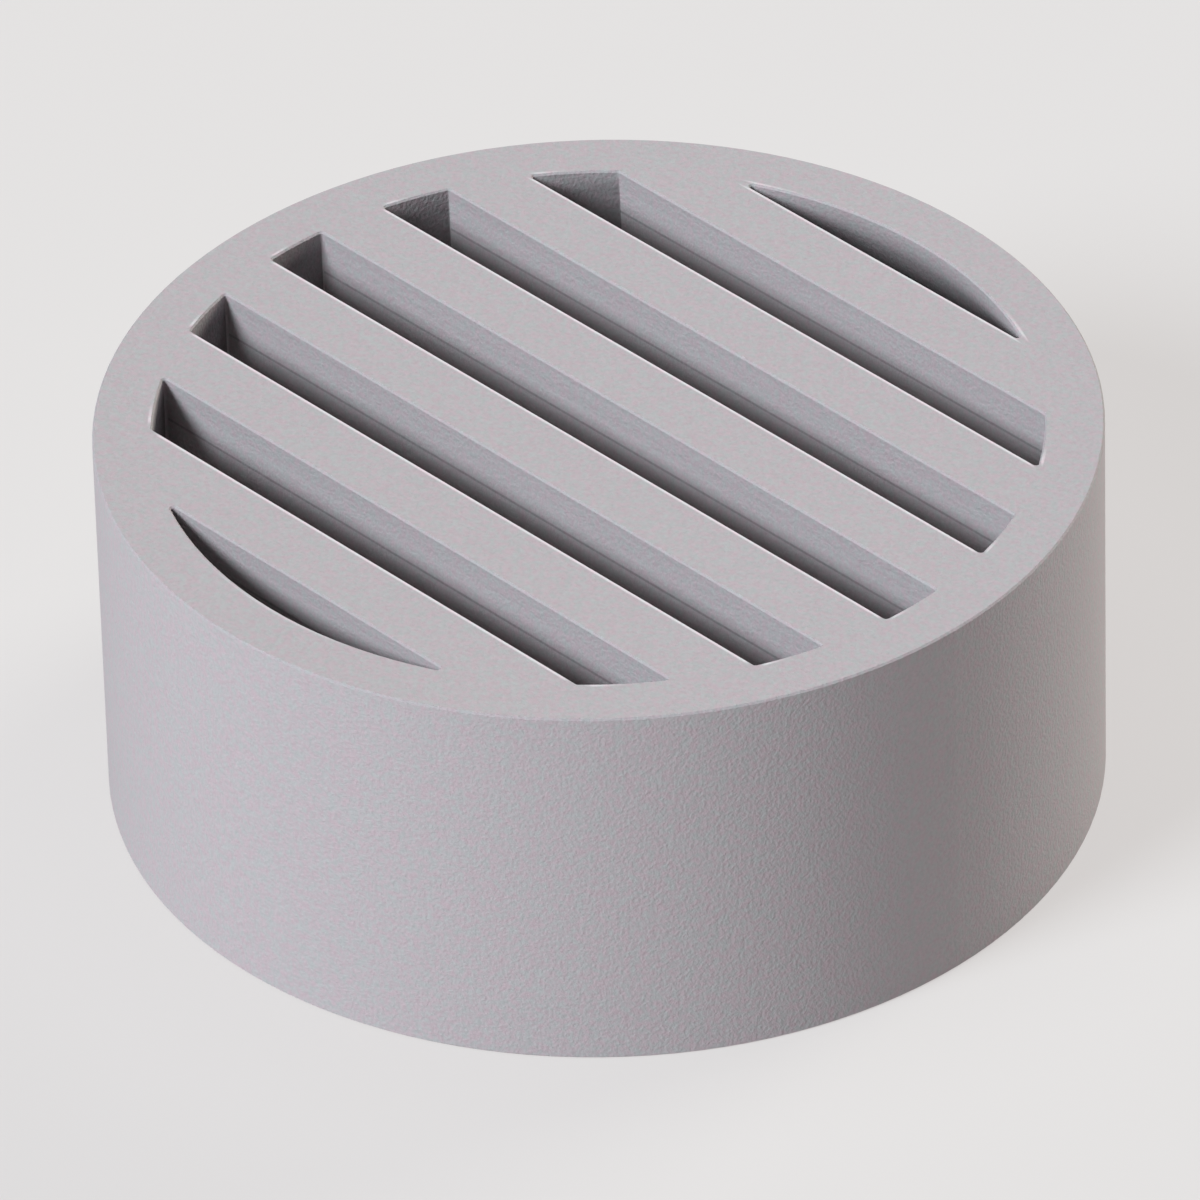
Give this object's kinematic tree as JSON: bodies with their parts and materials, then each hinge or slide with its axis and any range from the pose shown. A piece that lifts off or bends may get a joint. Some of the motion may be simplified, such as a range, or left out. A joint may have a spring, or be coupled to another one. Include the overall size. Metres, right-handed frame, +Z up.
{
  "type": "drain grate",
  "caption": "Round drain grate moulded in one piece: a short open tube with parallel bars across its mouth, flush with the rim and parted by straight slots.",
  "frame": {"origin": "centre of the open foot, in the plane of the surface that it stands on", "axes": "+Z up along the tube's axis, from the open foot to the bars; the bars run along X; Y crosses them"},
  "size_m": [0.11, 0.11, 0.045],
  "materials": {
    "moulded_pvc": "matte light grey, as moulded, with a fine mottle and no paint"
  },
  "bodies": {
    "root": {"drain_grate": "moulded_pvc"}
  },
  "joints": []
}
